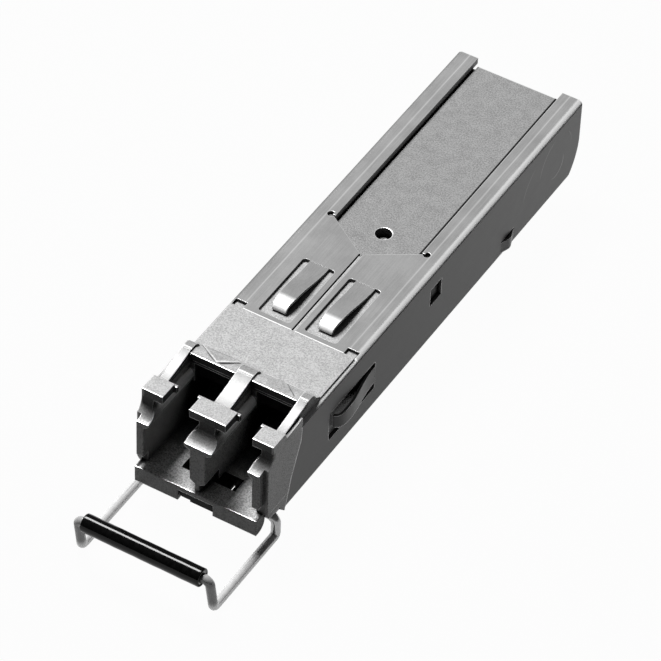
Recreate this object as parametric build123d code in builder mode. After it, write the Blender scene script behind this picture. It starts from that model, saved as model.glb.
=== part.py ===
from build123d import *
from math import degrees, radians, sin
import os

# A small form-factor pluggable transceiver: a die-cast body with a duplex LC nose, a folded
# sheet-metal shell round it, a wire bail with its latch, and the optics and board inside.
# Millimetres. X is the width, +Y runs from the nose to the edge connector, +Z is up.
# The origin is the centre of the bottom face, which the module lies and slides on.

os.makedirs("parts", exist_ok=True)

# Whole module
length = 56.5
width = 13.4
height = 8.5
sheet = 0.3
bend = 0.5
front = -length / 2
rear = length / 2

# Nose of the casting: heights from the bottom face, distances from the front edge
floor_top = 1.79
floor_half = width / 2 - 0.45
floor_lead = 0.25
toe_back = 1.15
toe_radius = 1.0
post_setback = 0.05
nose_height = 8.62
brow_height = 9.55
brow_back = 8.3
brow_ramp_end = 9.7
mouth_depth = 7.45
foot_height = 7.12
block_front = 1.6
block_back = 3.55
block_bottom = 8.72
block_top = 9.6
trough_height = 8.93
hump_front = 7.65
hump_top = 9.9
hump_back = 8.75
hump_slope = 0.35
hump_root = 0.4
hump_round = 0.25
hump_back_radius = 1.2
arrow_half = 1.75
arrow_proud = 0.12

# Ports: two, side by side on the pitch of a duplex LC plug
port_pitch = 6.25
wall_half = 0.77
port_outer = width / 2 - 1.13
port_ceiling = 6.5
port_depth = 11.0
ferrule_height = 4.1
rib_half = 1.4
stem_half = 0.2
stem_top = 3.0
stem_shoulder = 2.6
stem_depth = 2.4
groove_inner = floor_half + 0.01
groove_depth = 0.85
groove_reach = 2.0
groove_top = 7.7
rib_outer = port_outer - 0.51
rib_bottom = 6.85
rib_top = 7.15
rib_fillet = 0.9
arm_half = 0.82
arm_outer = width / 2 - 1.2
arm_fillet_height = 7.95
upper_depth = 8.3
block_half = 1.85
block_inner = width / 2 - 2.13
catch_lip = 0.3
catch_lip_drop = 0.18

# Seam where the shell's side panels end on the nose, as distances from the front edge
seam_top = 6.4
seam_upper = 6.25
seam_upper_share = 0.77
seam_lower = 4.7
seam_lower_share = 0.37
seam_bottom = 3.8

# Rear of the casting
roof_underside = 6.6
plate_top = 7.85
plate_half = width / 2 - 2.4
gutter_depth = 0.5
rail_top = height - sheet
cheek_thickness = 1.2
casting_end_gap = 0.4
nose_core_end = 15.6
bay_start = 21.0
screw_from_front = 31.4
screw_hole_radius = 0.8

# Shell
shell_front = 15.6
rail_front = 30.5
notch_apex = 27.3
rail_inner = width / 2 - 1.85
rail_lip = 0.65
bottom_end = length - 10.4
rear_corner = 4.5
finger_offset = 2.4
finger_slot_front = 16.3
side_finger_height = 4.0
side_finger_front = 11.0
finger_slot_half = 1.65
finger_slot_length = 7.9
finger_slot_corner = 0.3
front_relief = 0.9
front_relief_width = 1.2
finger_root_half = 1.0
finger_tip_half = 0.85
finger_gap = 1.0
finger_crest = 2.3
finger_rise = 0.6
finger_sheet = 0.25
window_from_front = 29.5
window_height = 5.55
window_size = 2.0
strap_from_front = length - 13.5
strap_height = 1.2
strap_half = 0.65
strap_length = 2.4
strap_slit = 0.16
strap_bulge = 0.35
relief_radius = 0.35
seam_gap = 0.36

# Bail
wire_radius = 0.44
bail_pivot_from_front = 2.24
bail_pivot_height = 0.46
bail_half = width / 2 + 0.06
bail_drop = 2.16
bail_reach = 10.14
riser_height = 3.8
riser_lean = 0.6
bar_half = width / 2
wire_bend = 0.6
stub_end = 1.76
sleeve_radius = 0.88
sleeve_half = width / 2 - 0.68
sleeve_chamfer = 0.12
wire_slot_clearance = 0.06

# Latch under the nose
shoulder_from_front = 11.5
channel_half = 1.8
channel_height = 1.25
channel_end = 14.6
lever_half = 1.7
lip_thickness = 0.5
lip_bottom = 0.12
lip_step = 0.15
lip_step_from_left = 1.0
lever_thickness = 0.4
lever_bottom = 0.4
lever_front = 0.05
lever_pin_from_front = 5.0
lever_pin_radius = 0.28
lever_pin_half = 2.6
lever_eye_radius = 0.5
boss_height = 0.45
boss_length = 2.4
boss_half = 1.25
swing_clearance = 0.08
window_floor_half = 2.75
window_floor_front = 1.85
window_floor_back = 3.4
pocket_inner = 5.6
pocket_height = 1.1
pocket_back = 2.9

# Board
board_thickness = 1.0
board_bottom = 2.25
board_half = width / 2 - sheet - cheek_thickness - 0.2
board_tongue_half = board_half - 0.4
board_front = 24.5
board_end_gap = 3.2
tongue_length = 8.0
contact_pitch = 0.8
contact_length = 3.2
contact_half = 0.27
contact_thickness = 0.05
contact_setback = 0.6
chip_wide = 3.8
chip_narrow = 3.0
chip_long = 4.9
chip_height = 0.85
chip_tall = 1.2
capacitor_width = 0.5
flex_landing = 1.6
chip_gap = 0.5
inductor_width = 2.0
screw_radius = 0.5
screw_head_radius = 1.0
screw_head_height = 0.75
screw_sunk = 0.9

# Optics
barrel_radius = 1.45
barrel_front = 6.6
ferrule_radius = 0.625
stub_length = 2.7
stub_clearance = 0.01
flange_radius = 2.4
flange_thickness = 0.8
can_radius = 1.9
can_length = 3.4
header_radius = 2.35
header_thickness = 0.9
flex_thickness = 0.15
flex_bend = 0.6
flex_half = board_half - port_pitch / 2 - 0.275
clamp_thickness = 1.3
clamp_clearance = 0.03


def along(distance):
    """The Y of a distance from the front edge of the nose."""
    return front + distance


def write(piece, name):
    """Label one finished piece and write it."""
    piece.label = name
    export_step(piece, f"parts/{name}.step")


core_half = width / 2 - sheet
casting_end = rear - casting_end_gap
port_centre = port_pitch / 2
room_middle = (wall_half + port_outer) / 2
pin_y = along(lever_pin_from_front)
lever_middle = lever_bottom + lever_thickness / 2

# The edge of the shell's side panels beside the nose, from the top down
seam_line = [
    (along(seam_top), height),
    (along(seam_upper), height * seam_upper_share),
    (along(seam_lower), height * seam_lower_share),
    (along(seam_bottom), 0),
]

# Arrows on the brow over the ports, one out of the module and one into it, a little proud of it
with BuildPart() as brow_arrows:
    with BuildSketch(Plane.YZ) as raised_brow:
        with BuildLine():
            Polyline(
                (along(mouth_depth), nose_height),
                (along(mouth_depth), brow_height + arrow_proud),
                (along(brow_back), brow_height + arrow_proud),
                (along(brow_ramp_end) + arrow_proud, nose_height),
                (along(mouth_depth), nose_height),
            )
        make_face()
    extrude(amount=width / 2, both=True)
    with BuildSketch(Plane.XY.offset(nose_height)) as arrow_plan:
        with BuildLine():
            Polyline(
                (-port_centre, along(mouth_depth)),
                (-port_centre + arrow_half, along(brow_ramp_end)),
                (-port_centre - arrow_half, along(brow_ramp_end)),
                (-port_centre, along(mouth_depth)),
            )
        make_face()
        with BuildLine():
            Polyline(
                (port_centre, along(brow_ramp_end)),
                (port_centre + arrow_half, along(mouth_depth)),
                (port_centre - arrow_half, along(mouth_depth)),
                (port_centre, along(brow_ramp_end)),
            )
        make_face()
    extrude(amount=height, mode=Mode.INTERSECT)

# One spring finger, lying along Y from its root: flat and rising, then turned down at its tip
with BuildPart() as finger:
    with BuildSketch(Plane.YZ) as finger_side:
        with BuildLine():
            Spline(
                (finger_slot_length + finger_sheet, -sheet / 2),
                (finger_crest, finger_rise - finger_sheet / 2),
                (finger_gap, -sheet / 2),
                tangents=[(-1, 0.02), (-0.2, -1)],
            )
        trace(line_width=finger_sheet)
    extrude(amount=finger_root_half, both=True)
    with BuildSketch(Plane.XY.offset(-height)) as finger_plan:
        with BuildLine():
            Polyline(
                (-finger_root_half, finger_slot_length + width),
                (-finger_root_half, finger_slot_length),
                (-finger_tip_half, finger_crest),
                (-finger_tip_half + finger_sheet, 0),
                (finger_tip_half - finger_sheet, 0),
                (finger_tip_half, finger_crest),
                (finger_root_half, finger_slot_length),
                (finger_root_half, finger_slot_length + width),
                (-finger_root_half, finger_slot_length + width),
            )
        make_face()
    extrude(amount=2 * height, mode=Mode.INTERSECT)

# Body casting: the side profile of the nose and the label plate, drawn once and pushed sideways
with BuildPart() as body_casting:
    with BuildSketch(Plane.YZ) as side_view:
        with BuildLine() as side_line:
            foot = (along(post_setback), foot_height)
            under_block = (along(block_front), block_bottom)
            Polyline(
                (along(-floor_lead), 0),
                (along(-floor_lead), floor_top),
                (along(post_setback), floor_top),
                foot,
            )
            neck = block_front - post_setback
            turn = 1 - sin(radians(45))
            middle = (
                along(post_setback + neck * (1 - turn)),
                foot_height + (block_bottom - foot_height) * turn,
            )
            ThreePointArc(foot, middle, under_block)
            trough_front = (along(block_back), trough_height)
            trough_back = (along(hump_front), brow_height)
            Polyline(under_block, (along(block_front), trough_height), trough_front)
            ThreePointArc(
                trough_front,
                (along((block_back + hump_front) / 2), trough_height + 0.08),
                trough_back,
            )
            Polyline(
                trough_back,
                (along(brow_back), brow_height),
                (along(brow_ramp_end), nose_height),
                (along(nose_core_end), nose_height),
                (along(nose_core_end), rail_top),
                (casting_end, rail_top),
                (casting_end, sheet),
                (along(seam_bottom), sheet),
                (along(seam_bottom), 0),
                (along(-floor_lead), 0),
            )
        make_face()
    extrude(amount=width / 2, both=True)
    # Behind the seam the sides step in by one sheet, under the shell's panels
    with BuildSketch(Plane.YZ.offset(core_half)) as seam_view:
        with BuildLine():
            Polyline(
                (along(seam_top), brow_height + 1),
                *seam_line,
                (rear, 0),
                (rear, brow_height + 1),
                (along(seam_top), brow_height + 1),
            )
        make_face()
    side_step = extrude(amount=sheet * 2, mode=Mode.SUBTRACT)
    mirror(side_step, about=Plane.YZ, mode=Mode.SUBTRACT)
    # Label plate, sunk between the two rails and ending in a point at the shell's V
    with BuildSketch(Plane.XY.offset(plate_top)) as plate_recess:
        with BuildLine():
            Polyline(
                (-rail_inner, casting_end),
                (-rail_inner, along(rail_front)),
                (0, along(notch_apex) - 0.6),
                (rail_inner, along(rail_front)),
                (rail_inner, casting_end),
                (-rail_inner, casting_end),
            )
        make_face()
    extrude(amount=rail_top - plate_top, mode=Mode.SUBTRACT)
    gutter = rail_inner - plate_half
    gutter_length = casting_end - along(rail_front)
    with BuildSketch(Plane.XY.offset(plate_top - gutter_depth)) as gutters:
        with Locations((0, along(rail_front) + gutter_length / 2)):
            with GridLocations(2 * plate_half + gutter, 1, 2, 1):
                Rectangle(gutter, gutter_length)
    extrude(amount=gutter_depth, mode=Mode.SUBTRACT)
    # Rounded corners that the bent sheet lies round
    corner_radius = bend - sheet + 0.05
    with BuildSketch(Plane.XZ.offset(-along(seam_bottom))) as lower_corners:
        with Locations((0, height / 2)):
            Rectangle(2 * core_half, height - 2 * sheet)
        with Locations((0, height / 2 + 1)):
            RectangleRounded(2 * core_half, height - 2 * sheet + 2, corner_radius, mode=Mode.SUBTRACT)
    extrude(amount=-length, mode=Mode.SUBTRACT)
    with BuildSketch(Plane.XZ.offset(-along(nose_core_end))) as upper_corners:
        with Locations((0, height / 2)):
            Rectangle(2 * core_half, height - 2 * sheet)
        with Locations((0, height / 2 - 1)):
            RectangleRounded(2 * core_half, height - 2 * sheet + 2, corner_radius, mode=Mode.SUBTRACT)
    extrude(amount=-length, mode=Mode.SUBTRACT)
    # Bay for the board and the optics, open to the bottom and to the rear
    with BuildSketch(Plane.XY) as bay:
        with Locations((0, (along(bay_start) + rear) / 2)):
            Rectangle(2 * (core_half - cheek_thickness), rear - along(bay_start))
    extrude(amount=roof_underside, mode=Mode.SUBTRACT)
    # Low recess for the can headers between the ports and the bay
    with BuildSketch(Plane.XZ.offset(-along(port_depth + 1.5))) as can_bay:
        with Locations((0, ferrule_height)):
            Rectangle(2 * (port_centre + flange_radius + 0.15), 2 * flange_radius + 0.3)
    extrude(amount=-(bay_start - port_depth - 1.5), mode=Mode.SUBTRACT)
    with BuildSketch(Plane.XY) as can_way:
        with Locations((0, (along(port_depth + 3.6) + along(bay_start)) / 2)):
            Rectangle(2 * (port_centre + flange_radius + 0.15), bay_start - port_depth - 3.6)
    extrude(amount=ferrule_height, mode=Mode.SUBTRACT)
    # Both ports: a plug-wide lower room, a rib on each side, and an upper room open to the top
    with BuildSketch(Plane.XZ.offset(-along(-1))) as mouth:
        with BuildLine():
            Line((wall_half, floor_top), (wall_half, port_ceiling))
            Line((wall_half, port_ceiling), (rib_half, rib_bottom))
            Line((rib_half, rib_bottom), (rib_half, rib_top))
            RadiusArc((rib_half, rib_top), (arm_half, arm_fillet_height), -rib_fillet)
            Line((arm_half, arm_fillet_height), (arm_half, block_top + 1))
            Line((arm_half, block_top + 1), (arm_outer, block_top + 1))
            Line((arm_outer, block_top + 1), (arm_outer, arm_fillet_height))
            RadiusArc((arm_outer, arm_fillet_height), (rib_outer, rib_top), -rib_fillet)
            Line((rib_outer, rib_top), (rib_outer, rib_bottom))
            Line((rib_outer, rib_bottom), (port_outer, port_ceiling))
            Line((port_outer, port_ceiling), (port_outer, floor_top))
            Line((port_outer, floor_top), (wall_half, floor_top))
        make_face()
    open_mouth = extrude(amount=-(mouth_depth + 1), mode=Mode.SUBTRACT)
    mirror(open_mouth, about=Plane.YZ, mode=Mode.SUBTRACT)
    with BuildSketch(Plane.XZ.offset(-along(mouth_depth))) as upper_room:
        middle_height = (floor_top + nose_height) / 2
        with Locations((room_middle, middle_height), (-room_middle, middle_height)):
            Rectangle(rib_outer - rib_half, nose_height - floor_top)
    extrude(amount=-(upper_depth - mouth_depth), mode=Mode.SUBTRACT)
    with BuildSketch(Plane.XZ.offset(-along(mouth_depth))) as lower_room:
        middle_height = (floor_top + port_ceiling) / 2
        with Locations((room_middle, middle_height), (-room_middle, middle_height)):
            Rectangle(port_outer - wall_half, port_ceiling - floor_top)
    extrude(amount=-(port_depth - mouth_depth), mode=Mode.SUBTRACT)
    # Seats of the barrels through the wall behind the ports
    with BuildSketch(Plane.XZ.offset(-along(port_depth))) as barrel_seats:
        with Locations((port_centre, ferrule_height), (-port_centre, ferrule_height)):
            Circle(barrel_radius)
    extrude(amount=-1.6, mode=Mode.SUBTRACT)
    # The foot of the centre wall stands on a thin stem over the floor
    with BuildSketch(Plane.XZ.offset(-along(0))) as stem_gap:
        with BuildLine():
            Polyline(
                (stem_half, floor_top),
                (stem_half, stem_shoulder),
                (wall_half, stem_top),
                (wall_half, floor_top),
                (stem_half, floor_top),
            )
        make_face()
    stem_side = extrude(amount=-stem_depth, mode=Mode.SUBTRACT)
    mirror(stem_side, about=Plane.YZ, mode=Mode.SUBTRACT)
    # The outer walls' front posts end above the floor, open below to the sides
    with BuildSketch(Plane.XZ.offset(-along(0))) as post_gap:
        for side in (-1, 1):
            with Locations((side * (port_outer + width / 2) / 2, (floor_top + stem_top) / 2)):
                Rectangle(width / 2 - port_outer, stem_top - floor_top)
    extrude(amount=-groove_depth, mode=Mode.SUBTRACT)
    # Rebates at the front corners, where the arms of the closed bail stand
    with BuildSketch(Plane.XZ.offset(-along(-1))) as groove:
        for side in (-1, 1):
            groove_middle = side * (groove_inner + groove_reach / 2)
            with Locations((groove_middle, (floor_top + groove_top) / 2)):
                Rectangle(groove_reach, groove_top - floor_top)
    extrude(amount=-(1 + groove_depth), mode=Mode.SUBTRACT)
    # Sides of the floor plate, and the slanted lower edge of the outer walls over the bail's legs
    slot_half = wire_radius + wire_slot_clearance
    pivot = (along(bail_pivot_from_front), bail_pivot_height)
    with BuildSketch(Plane.YZ.offset(floor_half)) as undercut:
        with BuildLine():
            Polyline(
                (along(-1), -1),
                (along(-1), floor_top + 0.1),
                (along(groove_depth), floor_top + 0.1),
                (along(toe_back), pocket_height + 0.1),
                (pivot[0] + slot_half, bail_pivot_height + slot_half + 0.05),
                (along(seam_bottom - 0.1), 0),
                (along(seam_bottom - 0.1), -1),
                (along(-1), -1),
            )
        make_face()
    lower_cut = extrude(amount=width, mode=Mode.SUBTRACT)
    mirror(lower_cut, about=Plane.YZ, mode=Mode.SUBTRACT)
    # Behind the plate's rounded toe, a pocket for the bends of the wire
    with BuildSketch(Plane.YZ.offset(pocket_inner)) as bend_pocket:
        with BuildLine():
            toe_low = (along(toe_back - toe_radius), 0)
            toe_high = (along(toe_back), toe_radius)
            Line((toe_low[0], -1), toe_low)
            RadiusArc(toe_low, toe_high, -toe_radius)
            Polyline(
                toe_high,
                (along(toe_back), pocket_height),
                (along(pocket_back), pocket_height),
                (along(pocket_back), -1),
                (toe_low[0], -1),
            )
        make_face()
    pocket = extrude(amount=width, mode=Mode.SUBTRACT)
    mirror(pocket, about=Plane.YZ, mode=Mode.SUBTRACT)
    # Channel of the latch lever, the bail's wire slot and the window in the floor
    with BuildSketch(Plane.XY) as channel:
        with Locations((0, along((channel_end - floor_lead) / 2))):
            Rectangle(2 * channel_half, channel_end + floor_lead)
    extrude(amount=channel_height, mode=Mode.SUBTRACT)
    with BuildSketch(Plane.YZ) as pin_seat:
        with Locations((pin_y, lever_middle)):
            Circle(lever_pin_radius + 0.01)
    extrude(amount=lever_pin_half + 0.02, both=True, mode=Mode.SUBTRACT)
    with BuildSketch(Plane.YZ) as wire_slot:
        with Locations(pivot):
            Circle(slot_half)
        with Locations((pivot[0], bail_pivot_height / 2)):
            Rectangle(2 * slot_half, bail_pivot_height)
    extrude(amount=width / 2, both=True, mode=Mode.SUBTRACT)
    with BuildSketch(Plane.XY.offset(bail_pivot_height)) as floor_window:
        with Locations((0, along((window_floor_front + window_floor_back) / 2))):
            Rectangle(2 * window_floor_half, window_floor_back - window_floor_front)
    extrude(amount=floor_top - bail_pivot_height + 0.001, mode=Mode.SUBTRACT)
    # The cheeks' lower rear corners stay inside the shell's rounded ones
    with BuildSketch(Plane.YZ.offset(-width)) as cheek_corner:
        with BuildLine():
            Polyline(
                (rear - rear_corner, -1),
                (rear - rear_corner, sheet + 0.1),
                (casting_end - 0.4, rear_corner + 0.2),
                (rear, rear_corner + 0.2),
                (rear, -1),
                (rear - rear_corner, -1),
            )
        make_face()
    extrude(amount=2 * width, mode=Mode.SUBTRACT)
    # Hole of the board screw, through the label plate
    with BuildSketch(Plane.XY.offset(roof_underside)) as screw_hole:
        with Locations((0, along(screw_from_front))):
            Circle(screw_hole_radius)
    extrude(amount=plate_top - roof_underside, mode=Mode.SUBTRACT)
    # Catches for the plug's latch: a block on the end of each arm, with a lip at its back
    block_sides = ((-block_half, block_half), (block_inner, width / 2), (-width / 2, -block_inner))
    for inner, outer in block_sides:
        left = inner - catch_lip if abs(inner) < core_half else inner
        right = outer + catch_lip if abs(outer) < core_half else outer
        with BuildSketch(Plane.XY.offset(block_bottom)) as block:
            with Locations(((inner + outer) / 2, along((block_front + block_back) / 2))):
                Rectangle(outer - inner, block_back - block_front)
        extrude(amount=block_top - block_bottom)
        with BuildSketch(Plane.XY.offset(block_bottom)) as lip:
            with Locations(((left + right) / 2, along(block_back))):
                Rectangle(right - left, catch_lip)
        extrude(amount=block_top - catch_lip_drop - block_bottom)
    # Humps at the roots of the arms, on the brow over the ports
    hump_sides = ((-arm_half, arm_half), (arm_outer, core_half), (-core_half, -arm_outer))
    for inner, outer in hump_sides:
        with BuildSketch(Plane.YZ.offset(inner)) as hump:
            with BuildLine():
                hump_foot = (along(hump_back) + hump_slope, brow_height - hump_root)
                front_foot = (along(hump_front), brow_height - hump_root)
                front_edge = (along(hump_front), hump_top - hump_round / 2)
                crest_front = (along(hump_front) + hump_round, hump_top)
                crest_back = (along(hump_back) - hump_slope, hump_top)
                Polyline(hump_foot, front_foot, front_edge)
                RadiusArc(front_edge, crest_front, hump_round)
                Line(crest_front, crest_back)
                RadiusArc(crest_back, hump_foot, hump_back_radius)
            make_face()
        extrude(amount=outer - inner)
    add(brow_arrows.part)
write(body_casting.part, "body_casting")

# Shell: one folded sheet, closed round the casting, with its edges meeting on the centre line
with BuildPart() as shell:
    with BuildSketch(Plane.XZ.offset(-along(seam_bottom))) as tube:
        with Locations((0, height / 2)):
            RectangleRounded(width, height, bend)
        with Locations((0, height / 2)):
            inner_size = (width - 2 * sheet, height - 2 * sheet)
            RectangleRounded(*inner_size, bend - sheet, mode=Mode.SUBTRACT)
    extrude(amount=-(length - seam_bottom))
    # The side panels' slanted front edges, beside the nose
    with BuildSketch(Plane.YZ) as front_cut:
        with BuildLine():
            Polyline(
                (along(0), height + 1),
                (along(seam_top), height + 1),
                *seam_line,
                (along(seam_bottom), -1),
                (along(0), -1),
                (along(0), height + 1),
            )
        make_face()
    extrude(amount=width, both=True, mode=Mode.SUBTRACT)
    # The top: open over the nose, then a plate with two fingers, a V and two rails
    with BuildSketch(Plane.XY.offset(height - bend)) as top_open:
        with Locations((0, along(shell_front / 2))):
            Rectangle(2 * core_half, shell_front)
        with BuildLine():
            Polyline(
                (0, along(notch_apex)),
                (-rail_inner, along(rail_front)),
                (-rail_inner, rear + 1),
                (rail_inner, rear + 1),
                (rail_inner, along(rail_front)),
                (0, along(notch_apex)),
            )
        make_face()
        with Locations((0, along((shell_front + notch_apex) / 2))):
            Rectangle(seam_gap, notch_apex - shell_front + 0.1)
        relief_side = core_half - front_relief_width / 2
        with Locations((-relief_side, along(shell_front)), (relief_side, along(shell_front))):
            Rectangle(front_relief_width, 2 * front_relief)
        slot_middle = along(finger_slot_front + finger_slot_length / 2)
        with Locations((-finger_offset, slot_middle), (finger_offset, slot_middle)):
            RectangleRounded(2 * finger_slot_half, finger_slot_length, finger_slot_corner)
        circle_side = rail_inner + relief_radius / 2
        with Locations((-circle_side, along(rail_front)), (circle_side, along(rail_front))):
            Circle(relief_radius)
    extrude(amount=2, mode=Mode.SUBTRACT)
    # Lips of the rails, folded down to the label plate
    with BuildSketch(Plane.XZ.offset(-along(rail_front))) as lips:
        lip_height = rail_lip + 0.001
        for side in (-1, 1):
            with Locations((side * (rail_inner - sheet / 2), height - lip_height / 2)):
                Rectangle(sheet, lip_height)
    extrude(amount=-(length - rail_front))
    # Side windows, the slots of the side fingers and the straps near the bottom edge
    side_finger_middle = side_finger_front + finger_slot_length / 2
    with BuildSketch(Plane.YZ.offset(-width)) as side_cuts:
        with Locations((along(window_from_front), window_height)):
            Rectangle(window_size, window_size)
        with Locations((along(side_finger_middle), side_finger_height)):
            RectangleRounded(finger_slot_length, 2 * finger_slot_half, finger_slot_corner)
        with Locations((along(strap_from_front), strap_height)):
            Rectangle(strap_length, 2 * strap_half + 2 * strap_slit)
    extrude(amount=2 * width, mode=Mode.SUBTRACT)
    # Open bottom under the board's tongue, the latch opening, and the rounded rear corners
    with BuildSketch(Plane.XY.offset(-1)) as bottom_cuts:
        with Locations((0, (along(bottom_end) + rear + 1) / 2)):
            Rectangle(2 * core_half - 0.4, rear + 1 - along(bottom_end))
        with Locations((0, along(channel_end / 2))):
            Rectangle(2 * channel_half, channel_end)
    extrude(amount=1 + bend, mode=Mode.SUBTRACT)
    with BuildSketch(Plane.YZ.offset(-width)) as corner_cut:
        with BuildLine():
            corner_start = (rear - rear_corner * 0.45, 0)
            corner_end = (rear, rear_corner)
            Line((rear + 1, -1), (rear - rear_corner * 0.45, -1))
            Line((rear - rear_corner * 0.45, -1), corner_start)
            RadiusArc(corner_start, corner_end, -rear_corner * 1.2)
            Line(corner_end, (rear + 1, rear_corner))
            Line((rear + 1, rear_corner), (rear + 1, -1))
        make_face()
    extrude(amount=2 * width, mode=Mode.SUBTRACT)
    # Two spring fingers on the top and one on each side, rooted at the rear of their slots
    for side in (-1, 1):
        add(finger.part.moved(Location((side * finger_offset, along(finger_slot_front), height))))
        side_place = (side * width / 2, along(side_finger_front), side_finger_height)
        add(finger.part.moved(Location(side_place, (0, side * 90, 0))))
        # The lanced strap near the bottom edge, bowed out between its two slits
        with BuildSketch(Plane.XY.offset(strap_height - strap_half)) as strap:
            with BuildLine():
                wall_middle = side * (width - sheet) / 2
                Spline(
                    (wall_middle, along(strap_from_front) - strap_length / 2 - sheet),
                    (wall_middle + side * strap_bulge, along(strap_from_front)),
                    (wall_middle, along(strap_from_front) + strap_length / 2 + sheet),
                    tangents=[(0, 1), (0, 1)],
                )
            trace(line_width=finger_sheet)
        extrude(amount=2 * strap_half)
write(shell.part, "shell")

# Bail: one wire from stub to stub, its arms hanging forward below the nose as the photo shows
pivot_y = along(bail_pivot_from_front)
arm_z = bail_pivot_height - bail_drop
corner_y = pivot_y - bail_reach
bar_y = corner_y - riser_lean
bar_z = arm_z + riser_height
with BuildPart() as bail_wire:
    with BuildLine() as bail_path:
        half_path = [
            (stub_end, pivot_y, bail_pivot_height),
            (bail_half, pivot_y, bail_pivot_height),
            (bail_half, pivot_y, arm_z),
            (bail_half, corner_y, arm_z),
            (bar_half, bar_y, bar_z),
        ]
        other_half = [(-x, y, z) for x, y, z in reversed(half_path)]
        FilletPolyline(*half_path, *other_half, radius=wire_bend)
    for run in bail_path.edges():
        with BuildSketch(Plane(origin=run @ 0, z_dir=run % 0)) as wire_section:
            Circle(wire_radius)
        if run.geom_type == GeomType.LINE:
            extrude(amount=run.length)
        else:
            # A bend is the section turned about the axis through the bend's own centre
            spoke = run @ 0 - run.arc_center
            bend_axis = Axis(run.arc_center, spoke.cross(run % 0))
            revolve(axis=bend_axis, revolution_arc=degrees(run.length / wire_bend))
write(bail_wire.part, "bail_wire")

with BuildPart() as bail_sleeve:
    with BuildSketch(Plane.YZ.offset(-sleeve_half)) as sleeve_section:
        with Locations((bar_y, bar_z)):
            Circle(sleeve_radius)
            Circle(wire_radius, mode=Mode.SUBTRACT)
    extrude(amount=2 * sleeve_half)
    rims = bail_sleeve.edges().filter_by(GeomType.CIRCLE).group_by(SortBy.RADIUS)[-1]
    chamfer(rims, sleeve_chamfer)
write(bail_sleeve.part, "bail_sleeve")

# Latch lever: a rocker on a pin, with the triangular boss that catches in the cage at its rear
shoulder_y = along(shoulder_from_front)
with BuildPart() as latch_lever:
    with BuildSketch(Plane.XY.offset(lever_bottom)) as lever_outline:
        with Locations((0, (along(lever_front) + shoulder_y + 1) / 2)):
            Rectangle(2 * lever_half, shoulder_y + 1 - along(lever_front))
    extrude(amount=lever_thickness)
    # Its front edge is turned down, and steps back a little on the left
    with BuildSketch(Plane.XY.offset(lip_bottom)) as front_lip:
        lip_y = along(lever_front)
        step_x = lip_step_from_left - lever_half
        with BuildLine():
            Polyline(
                (-lever_half, lip_y + lip_step),
                (step_x, lip_y + lip_step),
                (step_x, lip_y),
                (lever_half, lip_y),
                (lever_half, lip_y + lip_thickness),
                (-lever_half, lip_y + lip_thickness),
                (-lever_half, lip_y + lip_step),
            )
        make_face()
    extrude(amount=lever_bottom - lip_bottom)
    with BuildSketch(Plane.YZ) as eye:
        with Locations((pin_y, lever_middle)):
            Circle(lever_eye_radius)
    extrude(amount=lever_half, both=True)
    with BuildSketch(Plane.YZ) as pin_hole:
        with Locations((pin_y, lever_middle)):
            Circle(lever_pin_radius + 0.02)
    extrude(amount=lever_half, both=True, mode=Mode.SUBTRACT)
    # The boss points to the rear: a ramp that rides over the cage's edge, then a square shoulder
    with BuildSketch(Plane.XY.offset(lever_bottom)) as boss:
        with BuildLine():
            Polyline(
                (-boss_half, shoulder_y),
                (boss_half, shoulder_y),
                (0.25, shoulder_y - boss_length),
                (-0.25, shoulder_y - boss_length),
                (-boss_half, shoulder_y),
            )
        make_face()
    extrude(amount=-(lever_bottom - 0.02))
write(latch_lever.part, "latch_lever")

with BuildPart() as latch_pivot_pin:
    with BuildSketch(Plane.YZ) as pin_section:
        with Locations((pin_y, lever_middle)):
            Circle(lever_pin_radius)
    extrude(amount=lever_pin_half, both=True)
write(latch_pivot_pin.part, "latch_pivot_pin")

# Latch spring: a bowed leaf between the lever's rear arm and the roof of its channel
with BuildPart() as latch_spring:
    with BuildSketch(Plane.YZ) as leaf:
        with BuildLine():
            leaf_low = lever_bottom + lever_thickness + swing_clearance + 0.06
            leaf_high = channel_height - 0.08
            Spline(
                (shoulder_y - 2.2, leaf_low),
                (along(channel_end) - 1.2, leaf_high),
                tangents=[(1, 0), (1, 0)],
            )
            Line((along(channel_end) - 1.2, leaf_high), (along(channel_end) - 0.15, leaf_high))
        trace(line_width=0.1)
    extrude(amount=0.8, both=True)
write(latch_spring.part, "latch_spring")

# Circuit board, with the narrower tongue that plugs into the host's edge connector
board_top = board_bottom + board_thickness
board_end = rear - board_end_gap
with BuildPart() as circuit_board:
    with BuildSketch(Plane.XY.offset(board_bottom)) as board_outline:
        wide_end = board_end - tongue_length
        with Locations((0, (along(board_front) + wide_end) / 2)):
            Rectangle(2 * board_half, wide_end - along(board_front))
        with Locations((0, (along(board_front) + board_end) / 2)):
            Rectangle(2 * board_tongue_half, board_end - along(board_front))
        with Locations((-board_half, along(board_front + 6)), (board_half, along(board_front + 6))):
            Circle(0.8, mode=Mode.SUBTRACT)
        with Locations((0, along(screw_from_front))):
            Circle(screw_radius + 0.15, mode=Mode.SUBTRACT)
    extrude(amount=board_thickness)
    chamfer(circuit_board.faces().sort_by(Axis.Y)[-1].edges().filter_by(Axis.X), 0.25)
write(circuit_board.part, "circuit_board")

with BuildPart() as edge_contacts:
    contact_middle = board_end - contact_setback - contact_length / 2
    for level in (board_top, board_bottom - contact_thickness):
        with BuildSketch(Plane.XY.offset(level)) as pads:
            with Locations((0, contact_middle)):
                with GridLocations(contact_pitch, 1, 10, 1):
                    Rectangle(2 * contact_half, contact_length)
        extrude(amount=contact_thickness)
write(edge_contacts.part, "edge_contacts")

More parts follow.
